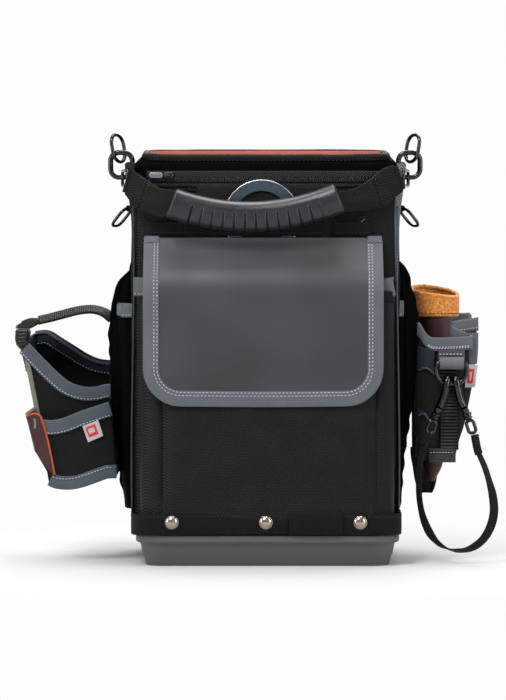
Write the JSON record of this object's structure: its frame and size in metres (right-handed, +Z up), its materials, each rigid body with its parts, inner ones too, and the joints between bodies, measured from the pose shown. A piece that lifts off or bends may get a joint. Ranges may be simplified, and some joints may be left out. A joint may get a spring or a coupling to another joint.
{
  "type": "electrician tool pouch",
  "caption": "Upright open-top tool bag on a moulded base, with a carrying handle, a flapped front pocket, a holster on one side and a tool pouch with a lanyard on the other.",
  "frame": {"origin": "centre of the base tray's bottom face", "axes": "+Z up, the front pocket and flap face -Y, +X to the right seen from the front"},
  "size_m": [0.4674, 0.2023, 0.4153],
  "materials": {
    "nylon": "black ballistic nylon weave",
    "webbing": "black nylon webbing",
    "vinyl": "blue-grey coated fabric",
    "moulding": "grey moulded plastic, lightly grained",
    "board": "stiff black board",
    "lining": "rust-red woven lining",
    "rubber": "dark grey moulded grip",
    "gunmetal": "dark plated metal",
    "nickel": "satin nickel",
    "steel": "blue-grey steel",
    "leather": "maroon-brown leather",
    "suede": "tan suede",
    "plastic": "black plastic"
  },
  "bodies": {
    "bag": {"base_tray": "moulding", "bottom_board": "board", "skirt_band": "webbing", "zipper_track": "webbing", "link_tab_left": "webbing", "link_tab_right": "webbing", "hanger_left": "webbing", "hanger_right": "webbing", "ring_webbing": "webbing", "rivet_front_left": "nickel", "rivet_front_centre": "nickel", "rivet_front_right": "nickel", "rivet_back_left": "nickel", "rivet_back_centre": "nickel", "rivet_back_right": "nickel", "rivet_side_left": "nickel", "rivet_side_right": "nickel", "front_panel": "nylon", "inner_front_panel": "nylon", "back_panel": "nylon", "left_panel": "nylon", "right_panel": "nylon", "rim_roll": "nylon", "front_pocket": "nylon", "side_pocket_left": "nylon", "side_pocket_right": "nylon", "holster_shell": "nylon", "holster_pocket": "nylon", "pouch_shell": "nylon", "pouch_pocket": "nylon", "lining": "lining", "centre_panel": "lining", "strap_link_left": "gunmetal", "strap_link_right": "gunmetal", "steel_ring": "steel", "steel_disc_left": "steel", "steel_disc_right": "steel", "leather_sleeve": "leather", "leather_sleeve_right": "leather", "leather_cuff": "suede", "buckle_socket": "plastic"},
    "slider": {"zipper_slider": "gunmetal"},
    "pull": {"zipper_pull": "steel"},
    "flap": {"front_flap": "vinyl"},
    "handle": {"handle_grip": "rubber", "handle_strap_left": "webbing", "handle_strap_right": "webbing", "handle_ring_left": "gunmetal", "handle_ring_right": "gunmetal"},
    "strap_ring_left": {"strap_ring_left": "gunmetal"},
    "strap_ring_right": {"strap_ring_right": "gunmetal"},
    "side_ring_left": {"side_ring_left": "gunmetal"},
    "side_ring_right": {"side_ring_right": "gunmetal"},
    "holster_strap": {"holster_strap": "webbing"},
    "pouch_ring": {"pouch_ring": "gunmetal"},
    "hooks": {"snap_hook_left": "gunmetal", "snap_hook_right": "gunmetal", "lanyard": "webbing"},
    "gate_left": {"hook_gate_left": "gunmetal"},
    "gate_right": {"hook_gate_right": "gunmetal"}
  },
  "joints": [
    {"name": "handle_swing", "type": "hinge", "parent": "bag", "child": "handle", "pos_m": [0, -0.03, 0.3724], "axis": [-1, 0, 0], "range_deg": [0, 60]},
    {"name": "flap_lift", "type": "hinge", "parent": "bag", "child": "flap", "pos_m": [0, -0.0668, 0.3125], "axis": [-1, 0, 0], "range_deg": [0, 55]},
    {"name": "zipper_slide", "type": "slide", "parent": "bag", "child": "slider", "axis": [1, 0, 0], "range_m": [0, 0.18]},
    {"name": "pull_turn", "type": "hinge", "parent": "slider", "child": "pull", "pos_m": [-0.1009, -0.0649, 0.3733], "axis": [0, 0, 1], "range_deg": [0, 90]},
    {"name": "strap_ring_left_swing", "type": "hinge", "parent": "bag", "child": "strap_ring_left", "pos_m": [-0.1447, -0.03, 0.396], "axis": [1, 0, 0], "range_deg": [-70, 70]},
    {"name": "strap_ring_right_swing", "type": "hinge", "parent": "bag", "child": "strap_ring_right", "pos_m": [0.1407, -0.03, 0.396], "axis": [1, 0, 0], "range_deg": [-70, 70]},
    {"name": "side_ring_left_swing", "type": "hinge", "parent": "bag", "child": "side_ring_left", "pos_m": [-0.1348, -0.03, 0.342], "axis": [0.342, 0.9397, 0], "range_deg": [-24, 44]},
    {"name": "side_ring_right_swing", "type": "hinge", "parent": "bag", "child": "side_ring_right", "pos_m": [0.1308, -0.03, 0.342], "axis": [-0.342, 0.9397, 0], "range_deg": [-44, 24]},
    {"name": "holster_strap_lift", "type": "hinge", "parent": "bag", "child": "holster_strap", "pos_m": [-0.155, 0, 0.2386], "axis": [0, 1, 0], "range_deg": [0, 70]},
    {"name": "pouch_ring_swing", "type": "hinge", "parent": "bag", "child": "pouch_ring", "pos_m": [0.1767, -0.0635, 0.19395], "axis": [-1, 0, 0], "range_deg": [0, 80]},
    {"name": "hooks_swing", "type": "hinge", "parent": "pouch_ring", "child": "hooks", "pos_m": [0.1767, -0.0635, 0.17305], "axis": [-1, 0, 0], "range_deg": [0, 50]},
    {"name": "gate_left_open", "type": "hinge", "parent": "hooks", "child": "gate_left", "pos_m": [0.16415, -0.0699, 0.15148], "axis": [-0.9483, 0, 0.3173], "range_deg": [0, 18], "stiffness_Nm_per_rad": 0.02, "springref_deg": -11.46},
    {"name": "gate_right_open", "type": "hinge", "parent": "hooks", "child": "gate_right", "pos_m": [0.18925, -0.0699, 0.15148], "axis": [-0.9483, 0, -0.3173], "range_deg": [0, 18], "stiffness_Nm_per_rad": 0.02, "springref_deg": -11.46}
  ]
}
